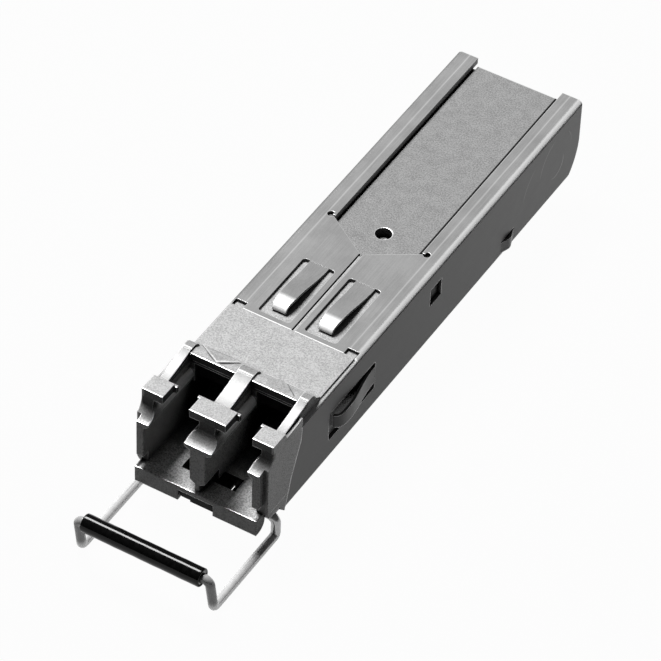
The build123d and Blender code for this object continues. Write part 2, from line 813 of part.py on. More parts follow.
# Parts on the board: name, size, and place of the centre as a share of the board's length
board_length = board_end - along(board_front)
chip_share = (flex_landing + chip_gap + chip_wide / 2) / board_length
board_parts = {
    "driver_chip": ((chip_wide, chip_wide, chip_height), (port_centre - 0.6, chip_share)),
    "amplifier_chip": ((chip_narrow, chip_wide, chip_height), (0.4 - port_centre, chip_share)),
    "memory_chip": ((chip_narrow, chip_long, chip_tall), (-board_half * 0.38, 0.47)),
    "controller_chip": ((chip_wide, chip_wide, chip_height), (board_half * 0.52, 0.45)),
}
for name, (size, (x, share)) in board_parts.items():
    with BuildPart() as chip:
        with BuildSketch(Plane.XY.offset(board_top)) as chip_outline:
            with Locations((x, along(board_front) + share * board_length)):
                Rectangle(size[0], size[1])
        extrude(amount=size[2])
        chamfer(chip.faces().sort_by(Axis.Z)[-1].edges(), 0.12)
    write(chip.part, name)

with BuildPart() as chip_capacitors:
    with BuildSketch(Plane.XY.offset(board_top)) as capacitor_outlines:
        row_y = along(screw_from_front) + screw_head_radius + chip_gap + capacitor_width
        with Locations((0, row_y)):
            with GridLocations(board_half / 3.7, 1, 7, 1):
                Rectangle(capacitor_width, 2 * capacitor_width)
    extrude(amount=capacitor_width)
write(chip_capacitors.part, "chip_capacitors")

with BuildPart() as power_inductors:
    with BuildSketch(Plane.XY.offset(board_top)) as inductor_outlines:
        with Locations((0, along(board_front) + 0.63 * board_length)):
            with GridLocations(board_half * 0.68, 1, 2, 1):
                Rectangle(inductor_width, 0.8 * inductor_width)
    extrude(amount=chip_tall)
    chamfer(power_inductors.faces().sort_by(Axis.Z)[-1].edges(), 0.15)
write(power_inductors.part, "power_inductors")

# Board screw: seen down the hole of the label plate
with BuildPart() as board_screw:
    with BuildSketch(Plane.XY.offset(board_bottom - screw_head_height)) as screw_shank:
        with Locations((0, along(screw_from_front))):
            Circle(screw_radius)
    extrude(amount=plate_top - screw_sunk - board_bottom + screw_head_height)
    with BuildSketch(Plane.XY.offset(board_bottom - screw_head_height)) as screw_head:
        with Locations((0, along(screw_from_front))):
            Circle(screw_head_radius)
    extrude(amount=screw_head_height)
write(board_screw.part, "board_screw")

# Optics: the same stack behind each port
seat_end = port_depth + 1.5
sleeve_end = seat_end + flange_thickness - stub_length
for name, side in (("transmitter", 1), ("receiver", -1)):
    x = side * port_centre
    with BuildPart() as barrel:
        with BuildSketch(Plane.XZ.offset(-along(barrel_front))) as barrel_outline:
            with Locations((x, ferrule_height)):
                Circle(barrel_radius)
        extrude(amount=-(seat_end - barrel_front))
        chamfer(barrel.faces().sort_by(Axis.Y)[0].edges(), 0.2)
        with BuildSketch(Plane.XZ.offset(-along(seat_end))) as flange_outline:
            with Locations((x, ferrule_height)):
                Circle(flange_radius)
        extrude(amount=-flange_thickness)
        with BuildSketch(Plane.XZ.offset(-along(barrel_front))) as sleeve_room:
            with Locations((x, ferrule_height)):
                Circle(ferrule_radius + 0.3)
        extrude(amount=-(seat_end + flange_thickness - barrel_front), mode=Mode.SUBTRACT)
    write(barrel.part, f"{name}_barrel")
    with BuildPart() as split_sleeve:
        with BuildSketch(Plane.XZ.offset(-along(barrel_front + 0.4))) as sleeve_ring:
            with Locations((x, ferrule_height)):
                Circle(ferrule_radius + 0.28)
                Circle(ferrule_radius, mode=Mode.SUBTRACT)
            with Locations((x, ferrule_height + ferrule_radius + 0.15)):
                Rectangle(0.15, 0.6, mode=Mode.SUBTRACT)
        extrude(amount=-(sleeve_end - barrel_front - 0.4))
    write(split_sleeve.part, f"{name}_split_sleeve")
    with BuildPart() as fibre_stub:
        with BuildSketch(Plane.XZ.offset(-along(sleeve_end))) as stub_outline:
            with Locations((x, ferrule_height)):
                Circle(ferrule_radius + 0.3 - stub_clearance)
        extrude(amount=-stub_length)
    write(fibre_stub.part, f"{name}_fibre_stub")
    header_start = seat_end + flange_thickness
    with BuildPart() as can:
        with BuildSketch(Plane.XZ.offset(-along(header_start))) as cap_outline:
            with Locations((x, ferrule_height)):
                Circle(can_radius)
        extrude(amount=-can_length)
        with BuildSketch(Plane.XZ.offset(-along(header_start + can_length))) as header_outline:
            with Locations((x, ferrule_height)):
                Circle(header_radius)
        extrude(amount=-header_thickness)
    write(can.part, f"{name}_can")
    # The flexible circuit leaves the header's back, bends down and lies on the board
    flex_start = header_start + can_length + header_thickness
    with BuildPart() as flex:
        with BuildSketch(Plane.YZ.offset(x)) as flex_profile:
            with BuildLine():
                back = along(flex_start) + flex_thickness / 2
                low = board_top + flex_thickness / 2
                FilletPolyline(
                    (back, ferrule_height + can_radius),
                    (back, low),
                    (along(board_front) + flex_landing, low),
                    radius=flex_bend,
                )
            trace(line_width=flex_thickness)
        extrude(amount=flex_half, both=True)
    write(flex.part, f"{name}_flex_circuit")

# Clamp: a saddle from below that holds both cans up in their seats
saddle_start = port_depth + 3.7
with BuildPart() as optics_clamp:
    with BuildSketch(Plane.XZ.offset(-along(saddle_start))) as saddle:
        saddle_top = ferrule_height - can_radius / 2
        with Locations((0, (sheet + clamp_clearance + saddle_top) / 2)):
            Rectangle(2 * (port_centre + flange_radius), saddle_top - sheet - clamp_clearance)
        with Locations((port_centre, ferrule_height), (-port_centre, ferrule_height)):
            Circle(can_radius + clamp_clearance, mode=Mode.SUBTRACT)
    extrude(amount=-clamp_thickness)
write(optics_clamp.part, "optics_clamp")
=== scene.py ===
# %% [markdown]
# A small pluggable transceiver, dressed over its CAD frame
# The real thing is a die-cast zinc body with a two-hole nose for a fibre plug, a folded steel
# shell round it, and a wire bail with a black tube that pulls it out of its cage. The CAD frame
# gives every solid its place. This script gives each one its finish, builds the pieces whose
# curves the CAD keeps plain, and lights the whole like a small studio table.

# %% Frame and units
from math import cos, pi, radians, sin

import bpy
import numpy as np
from mathutils import Matrix, Vector


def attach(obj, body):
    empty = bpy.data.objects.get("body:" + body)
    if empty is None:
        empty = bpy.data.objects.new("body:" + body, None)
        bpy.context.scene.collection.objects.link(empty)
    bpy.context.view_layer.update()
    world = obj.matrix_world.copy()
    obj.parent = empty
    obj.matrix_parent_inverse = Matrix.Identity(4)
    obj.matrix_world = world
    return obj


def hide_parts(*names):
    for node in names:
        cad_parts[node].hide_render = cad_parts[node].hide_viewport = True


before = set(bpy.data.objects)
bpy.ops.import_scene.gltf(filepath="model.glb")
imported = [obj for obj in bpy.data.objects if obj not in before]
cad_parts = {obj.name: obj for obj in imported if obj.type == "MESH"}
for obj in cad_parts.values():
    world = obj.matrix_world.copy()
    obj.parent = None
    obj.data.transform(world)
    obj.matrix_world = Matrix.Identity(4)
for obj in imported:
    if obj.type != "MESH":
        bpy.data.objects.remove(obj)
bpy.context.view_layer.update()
MM = 0.001
LENGTH = 56.5
FRONT = -LENGTH / 2

# %% [markdown]
# Surfaces from formulas
# A swept wire, a turned tube and a cast sweep are all one idea: a grid of points that two
# parameters walk over. One helper turns such a grid into a mesh, so each piece below only has
# to say its formula. Whole arrays are computed at once and handed to Blender in one call.


# %% Grid to mesh
def grid_mesh(name, grid, wrap_u=False, wrap_v=False, caps=False, smooth=True):
    """A mesh from an array of points (rows u, columns v, xyz) in millimetres.

    Quad (u, v) joins its neighbours (u+1, v), (u+1, v+1) and (u, v+1). wrap_u and wrap_v close
    the grid on itself, and caps fills the first and the last row with one face each.
    """
    rows, columns = grid.shape[:2]
    index = np.arange(rows * columns).reshape(rows, columns)
    along_u = np.vstack([index, index[:1]]) if wrap_u else index
    both = np.hstack([along_u, along_u[:, :1]]) if wrap_v else along_u
    quads = np.stack([both[:-1, :-1], both[1:, :-1], both[1:, 1:], both[:-1, 1:]], axis=-1)
    faces = quads.reshape(-1, 4).tolist()
    if caps:
        faces += [index[0].tolist(), index[-1][::-1].tolist()]
    mesh = bpy.data.meshes.new(name)
    mesh.from_pydata((grid.reshape(-1, 3) * MM).tolist(), [], faces)
    mesh.polygons.foreach_set("use_smooth", np.full(len(mesh.polygons), smooth))
    mesh.validate()
    mesh.update()
    return mesh


# %% Mesh to piece
def place(mesh, body, finish, replaced=()):
    """Adds a mesh to the scene as a piece that rides on a body and wears a finish."""
    piece = bpy.data.objects.new(mesh.name, mesh)
    bpy.context.scene.collection.objects.link(piece)
    piece.data.materials.append(finish.material)
    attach(piece, body)
    if replaced:
        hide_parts(*replaced)
    print(mesh.name, len(mesh.polygons), "faces on", body)
    return piece


# %% [markdown]
# Shader maths in plain arithmetic
# A material is a graph of nodes, and a graph written node by node is hard to read. Here a
# small class stands for one output of the graph and knows plus, minus and times, so a finish
# reads as the sum it is. Most of what follows is masks: numbers from 0 to 1 that say where a
# tone belongs, so the class also knows what lies past, before or near a place.


# %% Outputs with arithmetic
class Signal:
    """One output of a node tree. Arithmetic on it adds Math nodes."""

    def __init__(self, finish, socket):
        self.finish = finish
        self.socket = socket

    def math(self, operation, *terms):
        """A Math node on this output and any further terms."""
        settings = {"operation": operation}
        return self.finish.add("ShaderNodeMath", settings, dict(enumerate((self, *terms))))

    def __add__(self, other):
        return self.math("ADD", other)

    __radd__ = __add__

    def __sub__(self, other):
        return self.math("SUBTRACT", other)

    def __rsub__(self, other):
        return self.math("MULTIPLY", -1.0) + other

    def __mul__(self, other):
        return self.math("MULTIPLY", other)

    __rmul__ = __mul__

    def __truediv__(self, other):
        return self.math("DIVIDE", other)

    def size(self):
        """The value without its sign."""
        return self.math("ABSOLUTE")

    def clamp(self, low=0.0, high=1.0):
        """Cut off below low and above high."""
        return self.math("MAXIMUM", low).math("MINIMUM", high)

    def step(self, low, high):
        """A smooth rise from 0 at low to 1 at high."""
        settings = {"interpolation_type": "SMOOTHSTEP"}
        sockets = {"Value": self, "From Min": low, "From Max": high}
        return self.finish.add("ShaderNodeMapRange", settings, sockets)

    def past(self, edge, soft=0.05):
        """1 past an edge and 0 before it, with a soft change on both sides."""
        return self.step(edge - soft, edge + soft)

    def before(self, edge, soft=0.05):
        """0 past an edge and 1 before it."""
        return 1.0 - self.past(edge, soft)

    def near(self, middle, reach, soft=0.05):
        """1 where the value lies nearer to the middle than the reach, 0 elsewhere."""
        return (self - middle).size().before(reach, soft)


# %% One material
class Finish:
    """A material: its node tree, its main shader, and one method that adds any node."""

    def __init__(self, name):
        self.material = bpy.data.materials.new(name)
        self.material.use_nodes = True
        self.tree = self.material.node_tree
        self.shader = self.tree.nodes["Principled BSDF"]
        self.position = self.add("ShaderNodeTexCoord", output="Object")

    def add(self, kind, settings=None, sockets=None, output=0):
        """Adds a node, sets its settings first and its sockets next, and returns an output."""
        node = self.tree.nodes.new(kind)
        for key, value in (settings or {}).items():
            setattr(node, key, value)
        for key, value in (sockets or {}).items():
            self.feed(node.inputs[key], value)
        return Signal(self, node.outputs[output])

    def feed(self, socket, value):
        """Links an output to a socket, or sets the socket to a plain value."""
        if isinstance(value, Signal):
            self.tree.links.new(value.socket, socket)
        else:
            socket.default_value = value

    def wear(self, **sockets):
        """Sets or links the main shader's sockets: Base_Color means Base Color."""
        for key, value in sockets.items():
            self.feed(self.shader.inputs[key.replace("_", " ")], value)

    def part(self, vector, name):
        """One part of a vector, by its letter."""
        return self.add("ShaderNodeSeparateXYZ", {}, {"Vector": vector}, output=name)

    def axis(self, name):
        """One of the object's coordinates, in millimetres."""
        return self.part(self.position, name) / MM

    def normal(self):
        """The surface's true normal."""
        return self.add("ShaderNodeNewGeometry", output="Normal")

    def upright(self):
        """1 on faces that stand upright, 0 on level ones."""
        level = self.part(self.normal(), "Z").size()
        return 1.0 - level.step(0.2, 0.7)

    def noise(self, per_mm, detail=3.0, roughness=0.5, vector=None):
        """Cloudy noise from 0 to 1, with about per_mm features in a millimetre."""
        sockets = {"Vector": vector or self.position, "Scale": per_mm / MM}
        sockets.update({"Detail": detail, "Roughness": roughness})
        return self.add("ShaderNodeTexNoise", {}, sockets)

    def tint(self, amount, low, high):
        """A colour between low and high, each three numbers or a signal."""
        low, high = (c if isinstance(c, Signal) else (*c, 1.0) for c in (low, high))
        return self.add("ShaderNodeMix", {"data_type": "RGBA"}, {0: amount, 6: low, 7: high}, 2)

    def bump(self, height, depth_mm, normal=None):
        """A normal from a height of 0 to 1 that stands for depth_mm."""
        sockets = {"Height": height, "Distance": depth_mm * MM}
        if normal:
            sockets["Normal"] = normal
        return self.add("ShaderNodeBump", {}, sockets)


# %% [markdown]
# Edges and recesses
# Handling polishes the outer edges of a metal part, and little light gets into its recesses.
# Both can be measured where the light falls: the Bevel node turns the normal near an edge, and
# the Ambient Occlusion node tells how open a place is. The finishes lighten the outer edges, as
# wear and as a painted highlight, and darken the recesses with painted shade.


# %% Edge and recess masks
EDGE_SAMPLES = 8


def grey(value):
    """The same value in red, green and blue."""
    return (value, value, value)


# Light grey for worn edges, and for painted highlights and painted light
WEAR_AND_HIGHLIGHT = grey(0.95)


def openness(finish, reach_mm):
    """1 on open faces, falling to 0 in recesses narrower than the reach."""
    settings = {"samples": EDGE_SAMPLES}
    sockets = {"Distance": reach_mm * MM}
    return finish.add("ShaderNodeAmbientOcclusion", settings, sockets, output="AO")


def edges(finish, radius_mm):
    """1 on outer edges, 0 on faces and in corners; with it, the normal of a rounded edge.

    The rounded normal leaves the true one near any edge, and an inner corner, which would look
    the same, is told from an outer edge by how little of its surroundings is open.
    """
    settings = {"samples": EDGE_SAMPLES}
    rounded = finish.add("ShaderNodeBevel", settings, {"Radius": radius_mm * MM})
    pair = {0: rounded, 1: finish.normal()}
    settings = {"operation": "DOT_PRODUCT"}
    agree = finish.add("ShaderNodeVectorMath", settings, pair, output="Value")
    outer = openness(finish, 0.6).step(0.7, 0.95)
    return (1.0 - agree).step(0.004, 0.07) * outer, rounded


def tilted(finish, normal, amount):
    """A normal turned part of the way up, as the rounded burr of a cut edge turns it."""
    up = finish.add("ShaderNodeCombineXYZ", {}, {"Z": amount})
    total = finish.add("ShaderNodeVectorMath", {"operation": "ADD"}, {0: normal, 1: up})
    return finish.add("ShaderNodeVectorMath", {"operation": "NORMALIZE"}, {0: total})


# %% [markdown]
# Lines on a face
# The brow above the ports carries two arrows, and the side of the shell is scratched by its cage.
# Such lines are too fine to be worth geometry. Each is a distance instead: how far a point of the
# face lies from a straight run or from a circle, made dark or bright where it is small. The
# arrows' dark lines are painted shade on their shaded sides, their bright lines a painted
# highlight on their lit edges.


# %% Arrows in painted shade and painted highlight
# The first table is painted shade on the arrows' shaded sides, the second a painted highlight on
# their lit edges.
# Each line: its corners (x, y) in mm, its half width and its depth from 0 to 1
SHADED_LINES = (
    (((-2.83, -20.65), (-1.72, -19.93), (-1.46, -19.07)), 0.13, 0.95),
    (((-5.47, -18.77), (-4.2, -19.93), (-3.0, -20.61)), 0.06, 0.6),
    (((-4.89, -18.74), (-3.3, -18.6), (-1.88, -18.42)), 0.08, 0.4),
    (((3.4, -18.95), (4.2, -19.86), (4.93, -20.43)), 0.06, 0.6),
    (((-3.9, -19.9), (-2.8, -20.05)), 0.4, 0.16),
    (((2.5, -20.2), (4.0, -20.2)), 0.45, 0.16),
)
LIT_LINES = (
    (((-2.9, -20.41), (-2.05, -19.85), (-1.8, -18.67)), 0.09, 0.45),
    (((-5.57, -18.5), (-4.0, -19.87), (-2.99, -20.43)), 0.06, 0.45),
    (((0.85, -18.68), (2.2, -18.6)), 0.09, 0.45),
    (((2.94, -18.6), (5.08, -18.74)), 0.09, 0.45),
)


def stroke(x, y, start, end, half_width):
    """1 on a straight line between two points a and b, 0 off it.

    The nearest point of the line is a + s u, with u its direction and s = (p - a) . u kept
    between 0 and the line's length, and the mask falls with the distance from p to it.
    """
    length = float(np.hypot(end[0] - start[0], end[1] - start[1]))
    run_x, run_y = (end[0] - start[0]) / length, (end[1] - start[1]) / length
    from_x, from_y = x - start[0], y - start[1]
    along = (from_x * run_x + from_y * run_y).clamp(0.0, length)
    off_x, off_y = from_x - along * run_x, from_y - along * run_y
    distance = (off_x * off_x + off_y * off_y).math("SQRT")
    return distance.before(half_width, 0.4 * half_width)


def arrow_lines(x, y, lines):
    """The sum of bent lines, each the greatest of its straight runs times its depth."""
    drawn = []
    for corners, half_width, depth in lines:
        runs = [stroke(x, y, *run, half_width) for run in zip(corners, corners[1:])]
        bent = runs[0]
        for run in runs[1:]:
            bent = bent.math("MAXIMUM", run)
        drawn.append(bent * depth)
    return sum(drawn[1:], drawn[0]).clamp()


# %% Scratches on the shell
# Each arc: its centre (y, z), radius, middle angle and half span in degrees, and its depth
SCRATCHES = (
    (23.9, 4.05, 3.29, 138.0, 42.0, 0.6),
    (23.72, 3.85, 1.41, -50.0, 80.0, 0.9),
    (21.03, 3.28, 3.58, 143.0, 32.0, 0.45),
    (24.3, 5.0, 2.2, 20.0, 30.0, 0.3),
)
FULL_PART = 0.3


def scratches(y, z):
    """Thin bright arcs where the module has rubbed in its cage.

    Each is a part of a circle, |d - r| < w with d the distance from its centre, and it fades
    with the angle a from its middle direction, as cos a falls to the cosine of its half span.
    """
    arcs = []
    for centre_y, centre_z, radius, middle, half_span, depth in SCRATCHES:
        across, upward = y - centre_y, z - centre_z
        distance = (across * across + upward * upward).math("SQRT")
        line = 1.0 - (distance - radius).size().step(0.01, 0.075)
        aligned = (across * cos(radians(middle)) + upward * sin(radians(middle))) / distance
        fade = aligned.step(cos(radians(half_span)), cos(radians(FULL_PART * half_span)))
        arcs.append(line * fade * depth)
    return sum(arcs[1:], arcs[0])


# %% [markdown]
# Die-cast zinc
# The body is cast in one shot, and it comes out of its mould with a fine, slightly mottled grain.
# Hands have polished the nose, so the plate behind the shell's V is a tone darker. The arms
# between the catch blocks and the humps carry a painted highlight, and painted shade darkens the
# upright faces and recesses, down to almost black in the ports.
# One material covers it all: masks on the object's own coordinates say which region is which.


# %% Regions of the casting
# Places in mm, along Y from the nose to the tail
NECK_BACK = -26.3
PORT_FRONT = -26.0
BLOCKS_BACK = -24.7
NOSE_FLOOR_BACK = -24.1
ARM_MIDDLE = -22.4
MOUTH = -20.6
PORT_END = -13.75
SHELL_FRONT = -12.6
V_TIP = -1.0
WINDOW = (1.25, 5.55)
# Places in mm, up Z
NOSE_FLOOR = 1.79
RIB_HEIGHT = 7.5
NECK_FOOT = 7.95
PORT_TOP = 8.4
NOSE_TOP = 8.62
HUMP_FOOT = 9.73
# Places in mm, out from the middle along X
GUTTER_X = 4.03
PORT_X = 6.0
INNER_X = 6.5


def zinc_tones(finish, x, y, z, grain):
    """The casting's own colour region by region, with painted highlights and painted shade, before
    wear and further shade.
    """
    mottle = finish.noise(0.9, detail=4.0)
    speckle = (0.2 * mottle + 0.8 * grain).step(0.36, 0.64)
    nose = finish.tint(speckle, grey(0.32), grey(0.5))
    plate = finish.tint(speckle, grey(0.2), grey(0.34))
    colour = finish.tint(y.past(V_TIP, 0.5), nose, plate)

    # Painted highlight on the arms, brightest at their middle
    in_front = y.before(MOUTH)
    arms = y.past(BLOCKS_BACK, 0.1) * in_front * z.past(NOSE_TOP + 0.03)
    from_middle = (y - ARM_MIDDLE).size()
    arm_highlight = finish.tint(from_middle.step(0.2, 2.1), grey(0.52), grey(0.3))
    colour = finish.tint(arms, colour, arm_highlight)

    # Painted shade on the hump tops, and a painted highlight line along the humps' front edge
    hump_shade = (1.0 - in_front) * z.past(HUMP_FOOT + 0.015, 0.035) * y.past(MOUTH + 0.3, 0.1)
    hump_highlight = y.near(MOUTH + 0.1, 0.1) * z.past(HUMP_FOOT - 0.005, 0.025)
    colour = finish.tint(0.6 * hump_shade, colour, grey(0.16))
    colour = finish.tint(hump_highlight, colour, grey(0.9))

    # The nose floor: its grain lightened as painted light, and painted shade in its left corner
    on_floor = z.past(NOSE_FLOOR - 0.06, 0.03) * z.before(NOSE_FLOOR + 0.06)
    on_floor = on_floor * y.before(NOSE_FLOOR_BACK, 0.5)
    lit_floor_grain = finish.tint(grain.step(0.42, 0.58), grey(0.55), WEAR_AND_HIGHLIGHT)
    shaded_left_corner = x.before(-5.85, 0.15)
    return finish.tint(on_floor, colour, finish.tint(shaded_left_corner, lit_floor_grain, grey(0.06)))


def zinc_shade(finish, x, y, z):
    """Three masks: what is hidden from all light, what is in shade, and the ports' lit ribs."""
    side = x.size()
    # Painted shade: a black strip beside the right rail's gutter, and the darkness behind the side
    # windows and deep in the ports
    gutter_shadow = x.past(GUTTER_X, 0.03) * z.past(7.35) * y.past(2.15, 0.15)
    window_shade = y.near(WINDOW[0], 1.2) * z.near(WINDOW[1], 1.2) * side.past(PORT_X + 0.05)
    deep_shade = y.past(MOUTH + 0.05, 0.15) * z.before(PORT_TOP, 0.1) * side.before(PORT_X, 0.1)
    deep_shade = deep_shade * y.before(PORT_END, 0.25)
    hidden = (gutter_shadow + window_shade + deep_shade).clamp()

    # Painted shade on upright faces, darkest above the nose top, and in the necks under the catch
    # blocks
    upright = finish.upright()
    inner = side.before(INNER_X, 0.1)
    neck_shade = y.before(NECK_BACK, 0.1) * z.past(NECK_FOOT, 0.2) * z.before(8.75)
    shade = upright * inner * (0.35 + 0.45 * z.past(8.6, 0.1)) + 0.75 * neck_shade

    # Painted highlight on the ports' inner ribs, kept out of the painted shade
    port = y.past(PORT_FRONT, 0.6) * y.before(MOUTH - 0.2, 0.1) * side.before(PORT_X + 0.05)
    rib = z.near(RIB_HEIGHT, 0.42) * (1.0 - 0.5 * upright) * port
    return hidden, shade.clamp(0.0, 0.85) * (1.0 - rib), rib


# %% Cast zinc
def cast_zinc():
    """Light grey metal with a fine grain, lighter on its edges from wear and painted highlight,
    with painted shade in its recesses.
    """
    finish = Finish("die_cast_zinc")
    x, y, z = (finish.axis(name) for name in "XYZ")
    grain = finish.noise(7.0, detail=2.0, roughness=0.8)
    edge_wear_and_sheen, rounded = edges(finish, 0.16)
    hidden, shade, rib = zinc_shade(finish, x, y, z)
    sunk = openness(finish, 4.0) + 0.3 * y.past(SHELL_FRONT, 0.2)
    # Painted shade in recesses, by how open each place is
    open_face = (sunk.step(0.35, 0.85) + rib).clamp()
    brow = z.past(NOSE_TOP + 0.01, 0.03) * y.past(MOUTH + 0.05)

    colour = zinc_tones(finish, x, y, z, grain)
    # Painted shade and painted highlight lines of the arrows on the brow
    colour = finish.tint(arrow_lines(x, y, SHADED_LINES) * brow, colour, grey(0.02))
    colour = finish.tint(arrow_lines(x, y, LIT_LINES) * brow, colour, WEAR_AND_HIGHLIGHT)
    # Worn edges, lightened also as a painted highlight, and a painted highlight on the port ribs
    colour = finish.tint(edge_wear_and_sheen, colour, WEAR_AND_HIGHLIGHT)
    colour = finish.tint(rib, colour, WEAR_AND_HIGHLIGHT)
    # Painted shade: recesses, hidden places and upright faces go towards near black
    seen = open_face * (1.0 - hidden) * (1.0 - shade * (1.0 - edge_wear_and_sheen))
    finish.wear(
        Base_Color=finish.tint(seen, grey(0.012), colour),
        Metallic=0.06 + 0.5 * edge_wear_and_sheen,
        Specular_IOR_Level=0.05,
        Roughness=0.2 + 0.16 * grain,
        Normal=tilted(finish, finish.bump(grain, 0.02, normal=rounded), edge_wear_and_sheen),
    )
    return finish


# %% [markdown]
# The shell's steel
# The shell is rolled sheet, brushed along its length, so its noise is stretched along Y. The
# right fold, the cut front edge and the curled finger tips carry a painted highlight: they are
# lighter than the faces, and their normal leans upwards, as it does on a burr. The left fold and
# the recesses carry painted shade, and the upright sides are painted lighter, darker towards the
# front.


# %% Sheet steel
CREASE_X = 5.4
FINGER_X = 2.4
FINGER_ROOT = -4.05
FINGER_TIPS = (-11.15, -9.65)
SHELL_TOP = 8.1
STRETCH = (1.0, 0.02, 1.0)


def brushed_sheet():
    """Rolled steel: long fine lines along Y, a soft cloud of handling marks over them."""
    finish = Finish("shell_steel")
    x, y, z = (finish.axis(name) for name in "XYZ")
    side = x.size()
    sockets = {"Vector": finish.position, "Scale": STRETCH}
    stretched = finish.add("ShaderNodeMapping", {}, sockets)
    lines = finish.noise(12.0, detail=3.0, roughness=0.7, vector=stretched)
    cloud = finish.noise(0.3, detail=3.0)
    grain = finish.noise(9.0, detail=2.0)
    edge_wear_and_sheen, rounded = edges(finish, 0.11)
    # Painted shade in recesses, by how open each place is
    open_face = openness(finish, 2.0).step(0.1, 0.6)

    # Painted light and shade on the upright sides: lighter overall, darker towards the front
    upright = finish.upright()
    towards_front = y.before(5.0, 21.0)
    face = (0.4 * lines + 0.4 * cloud + 0.2 * grain).step(0.3, 0.7)
    face = finish.tint(face, grey(0.23), grey(0.32))
    face = finish.tint(0.25 * upright, face, grey(0.5))
    face = finish.tint(0.6 * upright * towards_front, face, grey(0.08))

    # A painted highlight line along each crease; bright scratches of wear on the right side
    on_crease = 1.0 - (side - CREASE_X).size().step(0.0, 0.13)
    crease_highlight = 0.2 * on_crease * z.step(8.4, 8.45)
    marks = scratches(y, z) * x.past(6.55)
    face = finish.tint((marks + crease_highlight).clamp(), face, grey(0.9))

    # Painted shade on the left fold; painted highlights on the right fold, the cut front edge and
    # the finger tips
    left_fold = (-1.0 * x).past(6.425, 0.125) * z.past(SHELL_TOP, 0.1)
    right_fold = x.past(6.225, 0.125) * z.past(SHELL_TOP - 0.02, 0.06)
    front_cut = y.before(-12.47, 0.03) * z.past(SHELL_TOP, 0.1) * x.past(-6.3)
    at_fingers = side.near(FINGER_X, 1.3)
    tips = y.past(FINGER_TIPS[0]) * y.before(FINGER_TIPS[1], 0.35) * at_fingers
    roots = y.near(FINGER_ROOT, 0.3) * at_fingers
    painted_highlights = (0.5 * right_fold + front_cut + 0.8 * tips).clamp()
    edge_wear_and_sheen = edge_wear_and_sheen * (1.0 - (right_fold + roots).clamp())
    face = finish.tint(0.7 * left_fold, face, grey(0.1))
    face = finish.tint(painted_highlights, face, WEAR_AND_HIGHLIGHT)
    face = finish.tint(edge_wear_and_sheen, face, grey(0.9))
    finish.wear(
        Base_Color=finish.tint(open_face, grey(0.02), face),
        Metallic=0.1 + 0.4 * edge_wear_and_sheen,
        Specular_IOR_Level=0.05,
        Roughness=0.22 + 0.12 * lines + 0.06 * cloud,
        Normal=tilted(finish, finish.bump(lines, 0.002, normal=rounded), 1.2 * painted_highlights),
    )
    return finish


# %% [markdown]
# Wire, small metal parts and plastics
# The bail's wire is nickel-plated and bright, and its risers are painted greyer as painted shade.
# The other parts need no more than a faint cloud in their colour and gloss: even new metal and
# plastic are never one flat tone.


# %% Wire, metals and plastics
RISER_FRONT = -34.0
RISER_FOOT = -0.95


def bright_plating():
    """Nickel on spring wire, brightest on the arms, and greyer on the risers as painted shade."""
    finish = Finish("bright_wire")
    cloud = finish.noise(2.0)
    # Painted shade: the risers greyer than the arms
    shaded_risers = finish.axis("Z").past(RISER_FOOT, 0.45) * finish.axis("Y").before(RISER_FRONT, 0.5)
    bright = finish.tint(cloud.step(0.3, 0.7), grey(0.8), grey(0.9))
    finish.wear(
        Base_Color=finish.tint(0.6 * shaded_risers, bright, grey(0.2)),
        Metallic=0.25 * (1.0 - shaded_risers) + 0.06,
        Specular_IOR_Level=0.2,
        Roughness=0.14 + 0.08 * cloud,
        Normal=finish.bump(cloud, 0.001),
    )
    return finish


def plain_metal(name, low, high, roughness, metallic=1.0, gloss=0.5):
    """A metal with a faint cloud in its colour and gloss."""
    finish = Finish(name)
    cloud = finish.noise(2.0)
    finish.wear(
        Base_Color=finish.tint(cloud.step(0.3, 0.7), low, high),
        Metallic=metallic,
        Specular_IOR_Level=gloss,
        Roughness=roughness + 0.08 * cloud,
        Normal=finish.bump(cloud, 0.002),
    )
    return finish


def plastic(name, low, high, roughness, gloss=0.5, depth=0.004):
    """A moulded or drawn plastic with a faint unevenness."""
    finish = Finish(name)
    cloud = finish.noise(3.0)
    finish.wear(
        Base_Color=finish.tint(cloud.step(0.3, 0.7), low, high),
        Specular_IOR_Level=gloss,
        Roughness=roughness + 0.1 * cloud,
        Normal=finish.bump(cloud, depth),
    )
    return finish


# %% The finishes themselves
zinc = cast_zinc()
shell_steel = brushed_sheet()
bright_wire = bright_plating()
black_tube = plastic("black_tube", grey(0.003), grey(0.006), 0.08, gloss=0.2, depth=0.0002)
latch_steel = plain_metal("latch_steel", grey(0.4), grey(0.55), 0.3)
# The latch lever's near-black steel is painted shade, for the shade of its slot
lever_shade_steel = plain_metal("lever_shade_steel", grey(0.015), grey(0.03), 0.45, metallic=0.2, gloss=0.05)
spring_steel = plain_metal("spring_steel", grey(0.45), grey(0.6), 0.22)
board_green = plastic("board_green", (0.012, 0.11, 0.05), (0.02, 0.16, 0.075), 0.3)
contact_gold = plain_metal("contact_gold", (0.75, 0.5, 0.16), (0.9, 0.64, 0.24), 0.2)
chip_black = plastic("chip_black", grey(0.012), grey(0.03), 0.5)
capacitor_tan = plastic("capacitor_tan", (0.3, 0.2, 0.11), (0.42, 0.29, 0.17), 0.45)
barrel_steel = plain_metal("barrel_steel", grey(0.4), grey(0.55), 0.28)
ceramic_white = plastic("ceramic_white", (0.72, 0.71, 0.68), (0.8, 0.79, 0.77), 0.25)
can_gold = plain_metal("can_gold", (0.68, 0.48, 0.2), (0.85, 0.63, 0.3), 0.25)
flex_amber = plastic("flex_amber", (0.42, 0.2, 0.03), (0.55, 0.28, 0.05), 0.3)

